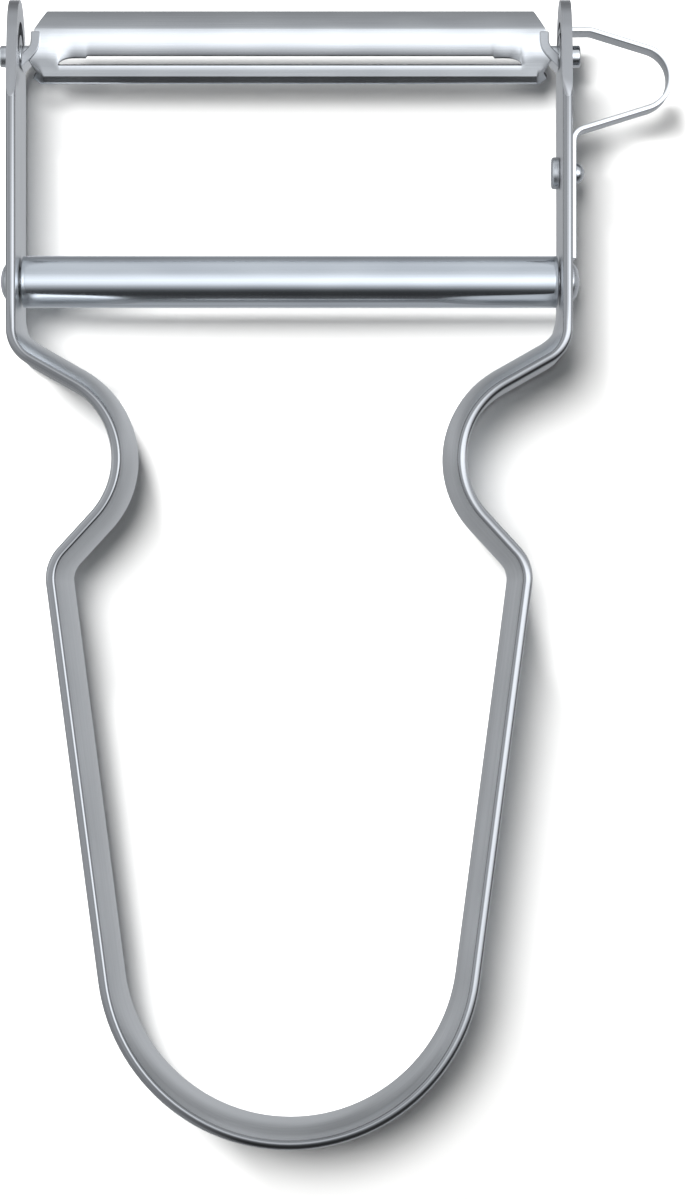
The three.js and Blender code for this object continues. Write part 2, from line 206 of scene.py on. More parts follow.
# %% Node helper
MATH = "ShaderNodeMath"


def add_node(tree, kind, inputs=None, **settings):
    node = tree.nodes.new(kind)
    for name, value in settings.items():
        setattr(node, name, value)
    for name, value in (inputs or {}).items():
        if isinstance(value, bpy.types.NodeSocket):
            tree.links.new(value, node.inputs[name])
        else:
            node.inputs[name].default_value = value
    return node


def linear(hex_colour):
    """An sRGB colour such as "#A0A4AA" as the linear values that a shader reads."""
    shares = [int(hex_colour[i : i + 2], 16) / 255 for i in (1, 3, 5)]
    return [s / 12.92 if s <= 0.04045 else ((s + 0.055) / 1.055) ** 2.4 for s in shares] + [1.0]


print("mid grey #808080 is", round(linear("#808080")[0], 3), "in linear light")

# %% [markdown]
# ## Metal finishes
# All eight pieces are bare metal, so their colour is close and their surface tells them apart. A
# metal in Cycles is the Principled shader with Metallic 1: the base colour is the colour of its
# reflection. What makes it look real is how the roughness varies. Rolling, drawing and tumbling
# each leave marks of their own direction and size, and the patterns below have those directions.
# They read Object coordinates, which are in metres here, so a mark of a given width in millimetres
# has a scale of 1000 over that width.

# %% Bare metal
MARK_DETAIL = 3.0
CLOUD_DETAIL = 1.0
NOISE_ROUGHNESS = 0.55
PATTERN_RANGE = (0.7, 1.3)
BUMP_STRENGTH = 0.1
# A Mix node's colour sockets and number sockets have the same names, so their places are used.
COLOUR_A, COLOUR_B, COLOUR_OUT = 6, 7, 2
NUMBER_A, NUMBER_B, NUMBER_OUT = 2, 3, 0


def bare_metal(name, mark_mm, cloud_mm, shades, gloss, bump_mm):
    """Marks mark_mm wide along each axis, over a slow cloud, vary a metal's shade and roughness."""
    material = bpy.data.materials.new(name)
    material.use_nodes = True
    tree = material.node_tree
    tree.nodes.clear()
    place = add_node(tree, "ShaderNodeTexCoord").outputs["Object"]
    patterns = []
    for width_mm, detail in ((mark_mm, MARK_DETAIL), (cloud_mm, CLOUD_DETAIL)):
        scale = [1 / (MM * width) for width in width_mm]
        stretched = add_node(tree, "ShaderNodeMapping", {"Vector": place, "Scale": scale})
        noise = {
            "Vector": stretched.outputs["Vector"],
            "Scale": 1.0,
            "Detail": detail,
            "Roughness": NOISE_ROUGHNESS,
        }
        patterns.append(add_node(tree, "ShaderNodeTexNoise", noise).outputs["Fac"])
    both = add_node(tree, MATH, {0: patterns[0], 1: patterns[1]}, operation="ADD").outputs[0]
    level = {"Value": both, "From Min": PATTERN_RANGE[0], "From Max": PATTERN_RANGE[1]}
    level = add_node(tree, "ShaderNodeMapRange", level).outputs["Result"]
    shade = {0: level, COLOUR_A: linear(shades[0]), COLOUR_B: linear(shades[1])}
    shade = add_node(tree, "ShaderNodeMix", shade, data_type="RGBA").outputs[COLOUR_OUT]
    rough = {"Value": level, "To Min": gloss[0], "To Max": gloss[1]}
    rough = add_node(tree, "ShaderNodeMapRange", rough).outputs["Result"]
    bump = {"Height": patterns[0], "Strength": BUMP_STRENGTH, "Distance": bump_mm * MM}
    bump = add_node(tree, "ShaderNodeBump", bump).outputs["Normal"]
    surface = {"Metallic": 1.0, "Base Color": shade, "Roughness": rough, "Normal": bump}
    surface = add_node(tree, "ShaderNodeBsdfPrincipled", surface)
    add_node(tree, "ShaderNodeOutputMaterial", {"Surface": surface.outputs["BSDF"]})
    return material, tree, surface.inputs, place


def mark_out(tree, surface, mask, shade, rough):
    """Where the mask is 1, the surface has another shade and roughness."""
    before = surface["Base Color"].links[0].from_socket
    other = {0: mask, COLOUR_A: before, COLOUR_B: linear(shade)}
    other = add_node(tree, "ShaderNodeMix", other, data_type="RGBA")
    tree.links.new(other.outputs[COLOUR_OUT], surface["Base Color"])
    before = surface["Roughness"].links[0].from_socket
    other = {0: mask, NUMBER_A: before, NUMBER_B: rough}
    other = add_node(tree, "ShaderNodeMix", other, data_type="FLOAT")
    tree.links.new(other.outputs[NUMBER_OUT], surface["Roughness"])


# %% [markdown]
# ### Satin aluminium
# The frame is soft aluminium strip, rolled and then tumbled with the parts of the batch. Rolling
# leaves faint lines along the strip. It stands on its edge, so those lines change with height
# alone. Tumbling leaves a fine silk that spreads every reflection, and it polishes the rims, which
# knock against the stones. A polished rim shows the room itself. Its base colour is also painted
# darker, which is painted shade: it dims the rim's reflection, so that only the bright panel
# overhead draws a line on it. The ears' punched edges stay duller. Mid grey with soft, wide
# reflections is what the eye gets from the faces, and a thin bright line from the rim.

# %% Satin aluminium
# Heights off the middle where the rims' polish and their painted shade begin and are full.
rim_polish_and_shade_start = 5.2
rim_polish_and_shade_full = 5.4


def satin_aluminium():
    material, tree, surface, place = bare_metal(
        "satin_tumbled_aluminium",
        mark_mm=(40.0, 40.0, 0.35),
        cloud_mm=(9.0, 9.0, 5.0),
        shades=("#D2D3D4", "#E0E1E2"),
        gloss=(0.30, 0.40),
        bump_mm=0.02,
    )
    height = add_node(tree, "ShaderNodeSeparateXYZ", {"Vector": place}).outputs["Z"]
    rise = add_node(tree, MATH, {0: height, 1: middle_height * MM}, operation="SUBTRACT")
    off_middle = add_node(tree, MATH, {0: rise.outputs[0]}, operation="ABSOLUTE").outputs[0]
    rim = {"Value": off_middle, "From Min": rim_polish_and_shade_start * MM, "From Max": rim_polish_and_shade_full * MM}
    rim = add_node(tree, "ShaderNodeMapRange", rim).outputs["Result"]
    # The rims: less rough for real, and base colour #949597, which is painted shade that dims their
    # reflection.
    mark_out(tree, surface, rim, "#949597", 0.14)
    punched = add_node(tree, "ShaderNodeAttribute", attribute_name="punched").outputs["Fac"]
    mark_out(tree, surface, punched, "#AAABAD", 0.30)
    return material


finish_of = {"handle_aluminium": satin_aluminium()}
print("finish of the frame:", finish_of["handle_aluminium"].name)

# %% [markdown]
# ### Bright steels
# The blade is stainless strip, pressed, ground and polished, with the finest lines along its
# length. Its sheared edges were never polished, so they are dull, and they are also painted near
# black, which is painted shade. The tube is drawn through a die, which leaves long smooth lines and
# a mirror between them. The loop is spring strip: its faces are painted a darker grey, which is
# painted shade, and its front edge, which cuts, is ground bright. The rivets were pressed cold and
# are plainer, with a light mottle, and the pins were turned, so fine rings run round them. All
# these marks are drawn a few times coarser than the real ones, so that they show.

# %% Bright steels
# Height where the ground front edge begins; below it the faces carry painted shade.
gouge_grind_start = 7.08
gouge_grind_full = 7.14


def polished_stainless():
    material, tree, surface, place = bare_metal(
        "polished_stainless_blade",
        mark_mm=(14.0, 0.12, 0.12),
        cloud_mm=(6.0, 3.0, 3.0),
        shades=("#DADCDF", "#E6E8EA"),
        gloss=(0.13, 0.21),
        bump_mm=0.003,
    )
    # Sheared edges: dull for real, and painted near black #3E4044, which is painted shade.
    sheared_and_shade = add_node(tree, "ShaderNodeAttribute", attribute_name="sheared_and_shade").outputs["Fac"]
    mark_out(tree, surface, sheared_and_shade, "#3E4044", 0.45)
    return material


def drawn_tube():
    return bare_metal(
        "drawn_bright_tube",
        mark_mm=(60.0, 0.3, 0.3),
        cloud_mm=(8.0, 2.0, 2.0),
        shades=("#CBD0D6", "#D8DDE2"),
        gloss=(0.10, 0.18),
        bump_mm=0.003,
    )[0]


def rolled_strip_painted_shade():
    # Faces painted a darker grey, #A0A3A7 to #AEB1B4, which is painted shade; the ground edge keeps
    # bright steel.
    material, tree, surface, place = bare_metal(
        "rolled_spring_strip_painted_shade",
        mark_mm=(20.0, 20.0, 0.18),
        cloud_mm=(3.0, 3.0, 3.0),
        shades=("#A0A3A7", "#AEB1B4"),
        gloss=(0.20, 0.30),
        bump_mm=0.003,
    )
    height = add_node(tree, "ShaderNodeSeparateXYZ", {"Vector": place}).outputs["Z"]
    ground = {"Value": height, "From Min": gouge_grind_start * MM, "From Max": gouge_grind_full * MM}
    ground = add_node(tree, "ShaderNodeMapRange", ground).outputs["Result"]
    mark_out(tree, surface, ground, "#E2E4E6", 0.18)
    return material


def pressed_rivet_steel():
    return bare_metal(
        "pressed_rivet_steel",
        mark_mm=(0.5, 0.5, 0.5),
        cloud_mm=(1.5, 1.5, 1.5),
        shades=("#BFC2C6", "#D2D4D7"),
        gloss=(0.22, 0.34),
        bump_mm=0.012,
    )[0]


def turned_pin_steel():
    return bare_metal(
        "turned_pin_steel",
        mark_mm=(0.09, 6.0, 6.0),
        cloud_mm=(1.0, 2.0, 2.0),
        shades=("#CDD0D4", "#E2E4E6"),
        gloss=(0.12, 0.20),
        bump_mm=0.005,
    )[0]


finish_of |= {
    "blade_steel": polished_stainless(),
    "tube_steel": drawn_tube(),
    "gouge_steel": rolled_strip_painted_shade(),
    "rivet_steel": pressed_rivet_steel(),
    "pin_steel": turned_pin_steel(),
}
print("finishes:", [material.name for material in finish_of.values()])

# %% [markdown]
# ## What the geometry trees share
# One tree bends the strips and another turns the round pieces. Both have named inputs, sweep a
# drawn section along a line whose normals stay level, and end in a plain mesh with its finish. So
# those steps are written once, and so is the step that runs a tree on an object.

# %% Geometry tree helpers
def start_tree(name, inputs, result):
    """A tree with inputs of {name: kind} and one geometry as its result."""
    tree = bpy.data.node_groups.new(name, "GeometryNodeTree")
    for label, kind in inputs.items():
        tree.interface.new_socket(label, in_out="INPUT", socket_type="NodeSocket" + kind)
    tree.interface.new_socket(result, in_out="OUTPUT", socket_type="NodeSocketGeometry")
    return tree, add_node(tree, "NodeGroupInput").outputs


def sweep(tree, line, section, caps):
    """A section, drawn as a mesh of edges, swept along a curve."""
    level = add_node(tree, "GeometryNodeSetCurveNormal", {"Curve": line}, mode="Z_UP")
    section = add_node(tree, "GeometryNodeMeshToCurve", {"Mesh": section})
    both = {"Curve": level.outputs[0], "Profile Curve": section.outputs[0], "Fill Caps": caps}
    return add_node(tree, "GeometryNodeCurveToMesh", both).outputs[0]


def end_tree(tree, geometry, finish, result):
    real = add_node(tree, "GeometryNodeRealizeInstances", {"Geometry": geometry})
    done = {"Geometry": real.outputs[0], "Material": finish}
    done = add_node(tree, "GeometryNodeSetMaterial", done)
    add_node(tree, "NodeGroupOutput", {result: done.outputs[0]})
    print("tree:", tree.name, "with", len(tree.nodes), "nodes")
    return tree


def run_tree(thing, tree, values):
    """Sets the tree's named inputs, then turns its result into a plain mesh."""
    modifier = thing.modifiers.new(tree.name, "NODES")
    modifier.node_group = tree
    for item in tree.interface.items_tree:
        if item.in_out == "INPUT" and item.name in values:
            modifier[item.identifier] = values[item.name]
    return settle(thing)


# %% [markdown]
# ## A tree that bends a strip
# The frame and the loop are both strip that follows a line, which is a rule, so Geometry Nodes make
# them. The tree reads a line of edges as a curve and sweeps a section along it. With normals that
# stay level, the strip stands upright all the way. On the handle the real strip is pressed into a
# shallow gutter. Each point of the line carries how much of the gutter it has and which way is
# inward, and the tree moves each point of the swept strip by a cubic over its height, which is flat
# in the middle and steep at the rims. The pressing also leans the rims outward. So each point of
# the section carries how far it lies across the strip, and near a rim the tree lowers it by a share
# of that. The lean puts the bright line on the rim's inner side, where the real one has it.

# %% Bent strip tree
STRIP_INPUTS = {
    "Line": "Geometry",
    "Section": "Object",
    "Middle height": "Float",
    "Gutter reach": "Float",
    "Gutter depth": "Float",
    "Gutter power": "Float",
    "Rim lean": "Float",
    "Rim power": "Float",
    "Finish": "Material",
}
NAMED = "GeometryNodeInputNamedAttribute"


def bent_strip_tree():
    tree, given = start_tree("Bent strip", STRIP_INPUTS, "Strip")
    line = add_node(tree, "GeometryNodeMeshToCurve", {"Mesh": given["Line"]})
    drawn = add_node(tree, "GeometryNodeObjectInfo", {"Object": given["Section"]})
    swept = sweep(tree, line.outputs["Curve"], drawn.outputs["Geometry"], caps=True)
    place = add_node(tree, "GeometryNodeInputPosition").outputs[0]
    height = add_node(tree, "ShaderNodeSeparateXYZ", {"Vector": place}).outputs["Z"]
    rise = add_node(tree, MATH, {0: height, 1: given["Middle height"]}, operation="SUBTRACT")
    share = add_node(tree, MATH, {0: rise.outputs[0], 1: given["Gutter reach"]}, operation="DIVIDE")
    off = add_node(tree, MATH, {0: share.outputs[0]}, operation="ABSOLUTE")
    steep = add_node(tree, MATH, {0: off.outputs[0], 1: given["Gutter power"]}, operation="POWER")
    bowl = add_node(tree, MATH, {0: 1.0, 1: steep.outputs[0]}, operation="SUBTRACT", use_clamp=True)
    fade = add_node(tree, NAMED, {"Name": "fade"}, data_type="FLOAT")
    depth = add_node(tree, MATH, {0: given["Gutter depth"], 1: fade.outputs[0]}, operation="MULTIPLY")
    sag = add_node(tree, MATH, {0: depth.outputs[0], 1: bowl.outputs[0]}, operation="MULTIPLY")
    inward = add_node(tree, NAMED, {"Name": "inward"}, data_type="FLOAT_VECTOR")
    shift = {0: inward.outputs[0], "Scale": sag.outputs[0]}
    moved = add_node(tree, "ShaderNodeVectorMath", shift, operation="SCALE")
    near = add_node(tree, MATH, {0: off.outputs[0], 1: given["Rim power"]}, operation="POWER")
    drop = add_node(tree, NAMED, {"Name": "across"}, data_type="FLOAT").outputs[0]
    for factor in (share.outputs[0], near.outputs[0], fade.outputs[0], given["Rim lean"]):
        drop = add_node(tree, MATH, {0: drop, 1: factor}, operation="MULTIPLY").outputs[0]
    drop = add_node(tree, "ShaderNodeCombineXYZ", {"Z": drop}).outputs[0]
    moved = add_node(tree, "ShaderNodeVectorMath", {0: moved.outputs[0], 1: drop}, operation="SUBTRACT")
    pressed = {"Geometry": swept, "Offset": moved.outputs[0]}
    pressed = add_node(tree, "GeometryNodeSetPosition", pressed)
    return end_tree(tree, pressed.outputs[0], given["Finish"], "Strip")


bent_strip = bent_strip_tree()
gutter_power = 3.0
rim_lean = 0.21
rim_power = 5.0
rim_top = 0.36


def bend_strip(name, stations, section, finish, gutter_reach=1.0, gutter_depth=0.0, fades=None):
    """Sweeps a section along stations of (point, right-hand normal, corner number)."""
    line = chain(name, [point for point, normal, corner in stations], height=middle_height)
    fade = line.data.attributes.new("fade", "FLOAT", "POINT")
    inward = line.data.attributes.new("inward", "FLOAT_VECTOR", "POINT")
    for i, (point, normal, corner) in enumerate(stations):
        fade.data[i].value = fades[i] if fades else 0.0
        inward.data[i].vector = (-normal.x, -normal.y, 0.0)
    drawn = chain("section", section, closed=True)
    inner_face = min(spot[0] for spot in section)
    across = drawn.data.attributes.new("across", "FLOAT", "POINT")
    for i, spot in enumerate(section):
        across.data[i].value = spot[0] - inner_face - rim_top
    run_tree(line, bent_strip, {
        "Section": drawn,
        "Middle height": middle_height,
        "Gutter reach": gutter_reach,
        "Gutter depth": gutter_depth,
        "Gutter power": gutter_power,
        "Rim lean": rim_lean,
        "Rim power": rim_power,
        "Finish": finish,
    })
    bpy.data.objects.remove(drawn)
    return line


# %% [markdown]
# ## The frame's line
# Half of the outline is drawn and mirrored. It starts at the round end, follows the leaning side to
# the hip, turns in to the waist and out to the shoulder, and goes straight up the leg. The side is
# tangent to the round end, so its direction is worked out from the hip and the end's radius. The
# gutter is full on the handle and fades out through the shoulder, because the legs are flat.

# %% Frame line
end_radius = 18.33
end_low = -strip_thickness / 2
shoulder_height = 75.36
shoulder_radius = 3.8
waist_half = 12.47
waist_height = shoulder_height - 8.19
waist_radius = 7.6
hip_half = 23.38
hip_height = waist_height - 11.92
hip_radius = 4.4
ear_reach = 5.4
cut_margin = 3.0
gutter_depth = 1.25
gutter_margin = 0.3
gutter_runout = 3.0
RUNOUT_STEPS = 6
SHOULDER = 4


def frame_half():
    to_hip = Vector((hip_half, hip_height)) - Vector((0.0, end_low + end_radius))
    tangent = math.atan2(to_hip.y, to_hip.x) - math.acos(end_radius / to_hip.length)
    end_turn = tangent + math.pi / 2
    stations = bent_line([
        (0.0, end_low),
        (end_radius * math.tan(end_turn / 2), end_low, end_radius),
        (hip_half, hip_height, hip_radius),
        (waist_half, waist_height, waist_radius),
        (leg_outer, shoulder_height, shoulder_radius),
        (leg_outer, pivot_height + ear_reach + cut_margin),
    ], step=3)
    leg_foot, outward, corner = stations[-2]
    rises = [gutter_runout * i / RUNOUT_STEPS for i in range(1, RUNOUT_STEPS + 1)]
    runout = [(Vector((leg_outer, leg_foot.y + rise)), outward, corner) for rise in rises]
    return stations[:-1] + runout + stations[-1:]


def gutter_fades(half):
    shoulder = [point.y for point, normal, corner in half if corner == SHOULDER]
    start, end = shoulder[0], shoulder[-1]
    fades = []
    for point, normal, corner in half:
        share = min(1.0, max(0.0, (point.y - start) / (end - start))) if corner >= SHOULDER else 0.0
        fades.append(1.0 - share * share * (3 - 2 * share))
    return fades


right_half = frame_half()[1:]
right_fades = gutter_fades(right_half)
left_half = [
    (Vector((-point.x, point.y)), Vector((-normal.x, normal.y)), corner)
    for point, normal, corner in reversed(right_half[1:])
]
frame_line = left_half + right_half
frame_fades = right_fades[:0:-1] + right_fades
print("frame line:", len(frame_line), "stations")

# %% [markdown]
# ## The strip's section
# Seen end on, the strip is 1 mm thick and 11 mm wide, and its two rims are rolled nearly round.
# That round rim is what draws the thin bright line on the photographed frame, so it is made from
# real arcs and not left to the shading. The faces are drawn in steps, because the gutter bends
# them.

# %% Strip section
rim_radius = 0.42
FACE_STEPS = 14


def strip_section(thickness, width, radius, face_steps=1):
    """A rectangle with round corners: thickness inward from 0, width about the middle."""
    high = width / 2 - radius
    inner = radius - thickness
    corners = [(-radius, high, 0), (inner, high, 90), (inner, -high, 180), (-radius, -high, 270)]
    loop = []
    for x, y, start in corners:
        loop += arc((x, y), radius, math.radians(start), math.pi / 2, step=15)
        if start in (90, 270):
            edge = loop[-1]
            loop += [Vector((edge.x, edge.y * (1 - 2 * i / face_steps))) for i in range(1, face_steps)]
    return loop


frame_section = strip_section(strip_thickness, strip_width, rim_radius, FACE_STEPS)
print("section:", len(frame_section), "points")

# %% [markdown]
# ## The ears
# Each leg ends in an ear: the strip is punched to a tapered tongue with a round tip, with a hole
# for the pin and a kidney slot over it. The strip is swept a little too long and everything outside
# the tongue is cut away, as the punch does. Where the flat cut runs out through the round rim, it
# leaves the small point that shows in the photograph.

# %% Ears
ear_tip_radius = 4.2
ear_runout = 4.6
ear_slot_radius = 2.68
ear_slot_width = 1.25
ear_slot_half_angle = math.radians(75)
pin_radius = 1.05
pin_running_gap = 0.07
past = leg_outer + cut_margin


def ear_scrap():
    """Side view of what the punch takes away round the tongue."""
    tip = Vector((pivot_height + ear_reach - ear_tip_radius, middle_height))
    corner = Vector((pivot_height - ear_runout, strip_width))
    to_tip = tip - corner
    tangent = math.atan2(to_tip.y, to_tip.x) + math.asin(ear_tip_radius / to_tip.length)
    along = Vector((math.cos(tangent), math.sin(tangent)))
    outside = corner - along * cut_margin / abs(math.sin(tangent))
    start = tangent + math.pi / 2
    far = pivot_height + ear_reach + 2 * cut_margin
    low = 2 * middle_height - outside.y
    tongue = arc(tip, ear_tip_radius, start, -2 * start, step=5)
    return [(far, outside.y), tuple(outside), *map(tuple, tongue), (outside.x, low), (far, low)]


def kidney_slot():
    half = ear_slot_half_angle
    end_radius_of_slot = ear_slot_width / 2
    centre = (pivot_height, middle_height)
    ends = [
        (centre[0] + ear_slot_radius * math.cos(a), centre[1] + ear_slot_radius * math.sin(a))
        for a in (half, -half)
    ]
    loop = arc(centre, ear_slot_radius + end_radius_of_slot, -half, 2 * half, step=6)
    loop += arc(ends[0], end_radius_of_slot, half, math.pi, step=15)[1:]
    loop += arc(centre, ear_slot_radius - end_radius_of_slot, half, -2 * half, step=6)[1:]
    loop += arc(ends[1], end_radius_of_slot, math.pi - half, math.pi, step=15)[1:-1]
    return loop


def round_hole(height, radius, low, high):
    circle = arc((height, middle_height), radius, 0.0, 2 * math.pi, step=10)
    return prism(circle[:-1], low, high, "X")


print("tongue:", len(ear_scrap()), "points, kidney slot:", len(kidney_slot()), "points")

# %% [markdown]
# ## Bending and punching the frame
# Now the strip is bent by the tree and punched. The holes for the rivets are real holes, though the
# heads cover them. A punch leaves crisp edges and a duller cut than the tumbled strip has. So the
# cut faces are marked in an attribute, which the finish reads. They are easy to find: they lie in
# the ears, and they face neither left nor right, as the faces of the strip do there.

# %% Frame
tube_rivet_radius = 1.25
gouge_root_height = pivot_height - 7.35
gouge_rivet_height = gouge_root_height - 3.9
gouge_rivet_radius = 0.7
rivet_hole_gap = 0.1
SIDEWAYS = 0.5


def mark_punched(strip):
    """Marks the cut faces of the ears for the finish."""
    mask = strip.data.attributes.new("punched", "FLOAT", "FACE")
    for face, place in zip(strip.data.polygons, mask.data):
        in_ear = face.center.y > pivot_height - ear_runout
        place.value = 1.0 if in_ear and abs(face.normal.x) < SIDEWAYS else 0.0


def make_strip_frame():
    strip = bend_strip(
        "strip_frame",
        frame_line,
        frame_section,
        finish_of["handle_aluminium"],
        gutter_reach=middle_height - gutter_margin,
        gutter_depth=gutter_depth,
        fades=frame_fades,
    )
    combine(strip, prism(ear_scrap(), -past, past, "X"))
    combine(strip, prism(kidney_slot(), -past, past, "X"))
    combine(strip, round_hole(pivot_height, pin_radius + pin_running_gap, -past, past))
    combine(strip, round_hole(tube_height, tube_rivet_radius + rivet_hole_gap, -past, past))
    combine(strip, round_hole(gouge_rivet_height, gouge_rivet_radius + rivet_hole_gap, 0.0, past))
    mark_punched(strip)
    return strip


strip_frame = make_strip_frame()
print("strip_frame:", len(strip_frame.data.polygons), "faces")

# %% [markdown]
# ## A tree that turns a piece
# Pins, rivets and the tube are round, so they repeat one recipe: a profile turned about a line. In
# Geometry Nodes that is a profile swept along a circle. The circle has a radius of 1 mm, so the
# profile is moved in by as much, and points on the axis, which meet there, are merged. The Screw
# modifier could turn it too, but a tree with named inputs makes five pieces from one recipe.

# %% Turned piece tree
TURN_INPUTS = {"Profile": "Geometry", "Sides": "Int", "Height": "Vector", "Finish": "Material"}
AXIS_WELD = 0.001
TURN_SIDES = 64
DOME_STEPS = 10


def turned_piece_tree():
    tree, given = start_tree("Turned piece", TURN_INPUTS, "Piece")
    circle = {"Resolution": given["Sides"], "Radius": 1.0}
    circle = add_node(tree, "GeometryNodeCurvePrimitiveCircle", circle)
    moved_in = {"Geometry": given["Profile"], "Translation": (-1.0, 0.0, 0.0)}
    moved_in = add_node(tree, "GeometryNodeTransform", moved_in)
    swept = sweep(tree, circle.outputs[0], moved_in.outputs[0], caps=False)
    merged = {"Geometry": swept, "Distance": AXIS_WELD}
    merged = add_node(tree, "GeometryNodeMergeByDistance", merged)
    across = {"Geometry": merged.outputs[0], "Translation": given["Height"]}
    across["Rotation"] = (0.0, -math.pi / 2, 0.0)
    across = add_node(tree, "GeometryNodeTransform", across)
    return end_tree(tree, across.outputs[0], given["Finish"], "Piece")


turned_piece = turned_piece_tree()


def turn_piece(name, profile, height, finish, closed=False):
    """profile: (place along X, radius), turned about a line along X at that height."""
    drawn = chain(name, [(radius, along) for along, radius in profile], closed)
    values = {"Sides": TURN_SIDES, "Height": (0.0, height, middle_height), "Finish": finish}
    return run_tree(drawn, turned_piece, values)


def dome(foot, radius, rise, way):
    """Half of a low dome's profile, from its foot to its top."""
    return [
        (foot + way * rise * math.sin(a), radius * math.cos(a) if a < math.pi / 2 else 0.0)
        for a in [math.pi / 2 * i / DOME_STEPS for i in range(DOME_STEPS + 1)]
    ]


def both_ends(right):
    """A whole profile from its right half."""
    return [(-along, radius) for along, radius in reversed(right)] + right


# %% [markdown]
# ## Tube and rivets
# The tube is a length of drawn steel tube with its ends deburred. A ring close to each end keeps
# the long reflection straight: without it, smooth shading would spread the round ends over the
# whole tube. Its long rivet passes through the legs and is set over on the outside into two low
# domes. The short rivet holds the loop: it has a flat button inside the leg and a small dome
# outside.

# %% Tube and rivets
tube_radius = 2.5
tube_wall = 1.0
tube_end = leg_inner - 0.17
tube_edge = 0.2
tube_end_ring = 0.5
tube_head_radius = 1.87
tube_head_rise = 0.9
gouge_thickness = 0.5
gouge_face = leg_outer + 2 * seat_gap + gouge_thickness
button_radius = 1.55
button_rise = 0.72
button_edge = 0.25
button_seat_edge = 0.06
gouge_head_radius = 1.0
gouge_head_rise = 0.8


def make_bright_tube():
    bore = tube_radius - tube_wall
    right = rounded([
        (tube_end - tube_end_ring, tube_radius),
        (tube_end, tube_radius, tube_edge),
        (tube_end, bore),
    ])
    profile = both_ends(right)
    return turn_piece("bright_tube", profile, tube_height, finish_of["tube_steel"], closed=True)


def make_long_rivet():
    foot = leg_outer + seat_gap
    right = [(foot, tube_rivet_radius), *dome(foot, tube_head_radius, tube_head_rise, 1)]
    return turn_piece("long_rivet", both_ends(right), tube_height, finish_of["rivet_steel"])


def make_short_rivet():
    seat = leg_inner - seat_gap
    button = rounded([
        (seat - button_rise, 0.0),
        (seat - button_rise, button_radius, button_edge),
        (seat, button_radius, button_seat_edge),
        (seat, gouge_rivet_radius),
    ])
    head = dome(gouge_face, gouge_head_radius, gouge_head_rise, 1)
    profile = [*button, (gouge_face, gouge_rivet_radius), *head]
    return turn_piece("short_rivet", profile, gouge_rivet_height, finish_of["rivet_steel"])


bright_tube = make_bright_tube()
long_rivet = make_long_rivet()
short_rivet = make_short_rivet()
for piece in (bright_tube, long_rivet, short_rivet):
    far_end = max(vert.co.x for vert in piece.data.vertices)
    print(piece.name, len(piece.data.polygons), "faces, x to", round(far_end, 2))

# %% [markdown]
# ## The blade's sheet
# The blade is pressed from thin stainless sheet. Seen from its end it falls steeply at the heel,
# bends over a crisp ridge, arches down to the cutting edge, and beyond the slot a narrow guide bar
# ends in a steep lip. Past the slot's round ends the arch comes down to the guide bar, and the
# sheet ends at its necks. A surface like that follows no single tool, so its points are worked out
# in rows from heel to lip and columns along its length. The slot is the gap between the last row of
# the arch and the first row of the guide. Past the slot's ends those two rows are the same points,
# so the sheet closes there by itself.

# %% Blade sizes
blade_thickness = 0.7
blade_half = leg_inner - 1.34
ridge = Vector((2.55, 0.85))
heel_reach = 4.74
heel_setback = 1.0
heel_slope = math.radians(44)
heel_bow = math.radians(15)
arch_start = math.tan(math.radians(6))
arch_end = math.tan(math.radians(-24))
arch_power = 1.2
edge_reach = -0.05
edge_shoulder = 0.2
guide_start = Vector((-0.92, 0.52))
guide_crease = Vector((-1.93, 0.21))
guide_lip = Vector((-2.60, -0.34))
corner_lift = Vector((0.35, 0.10))
CORNER_SET = 0.5
slot_end = blade_half - 2.3
slot_straight = slot_end - 1.6
ground_half = slot_end - 2.7
grind_angle = math.radians(35)
neck_thickness = 0.88
neck_inner = blade_half - 0.6
neck_outer = neck_inner + neck_thickness
neck_head = 2.25
neck_bend = 1.0
neck_slant = math.radians(43.5)
neck_inner_bend = neck_bend - neck_thickness * math.tan(neck_slant / 2)
web_start = 0.1
web_reach = 0.5


def smooth(value, low, high):
    share = min(1.0, max(0.0, (value - low) / (high - low)))
    return share * share * (3 - 2 * share)


def slot_edge(x):
    """How far the sheet reaches down to the slot's far edge at x."""
    if x < ground_half:
        return edge_reach
    shoulder = edge_reach - edge_shoulder
    share = min(1.0, max(0.0, (x - slot_straight) / (slot_end - slot_straight)))
    return shoulder + (guide_start.x - shoulder) * (1 - math.sqrt(1 - share * share))


def arch_rise(reach, x):
    """Height of the arch, which steepens to the slot's edge and meets the guide past the slot."""
    span = ridge.x - slot_edge(x)
    share = (ridge.x - reach) / span
    bend = (arch_end - arch_start) / (arch_power + 1)
    closed = ridge.y + (arch_start + bend) * (ridge.x - guide_start.x) - guide_start.y
    arch = ridge.y + (arch_start * share + bend * share ** (arch_power + 1)) * span
    return arch - closed * share ** 2 * smooth(x, slot_straight, slot_end)


print("blade is", round(2 * blade_half, 2), "mm long with a slot of", round(2 * slot_end, 2))

# %% [markdown]
# ### Rows and columns
# A column is one section of the sheet at a given X. Columns stand close where the slot rounds off
# and the lip's corner is cut, and far apart in between, where nothing changes. Past the slot's end
# a column is a share of the way from there to the sheet's own end, which is different for the heel,
# the arch and the lip.

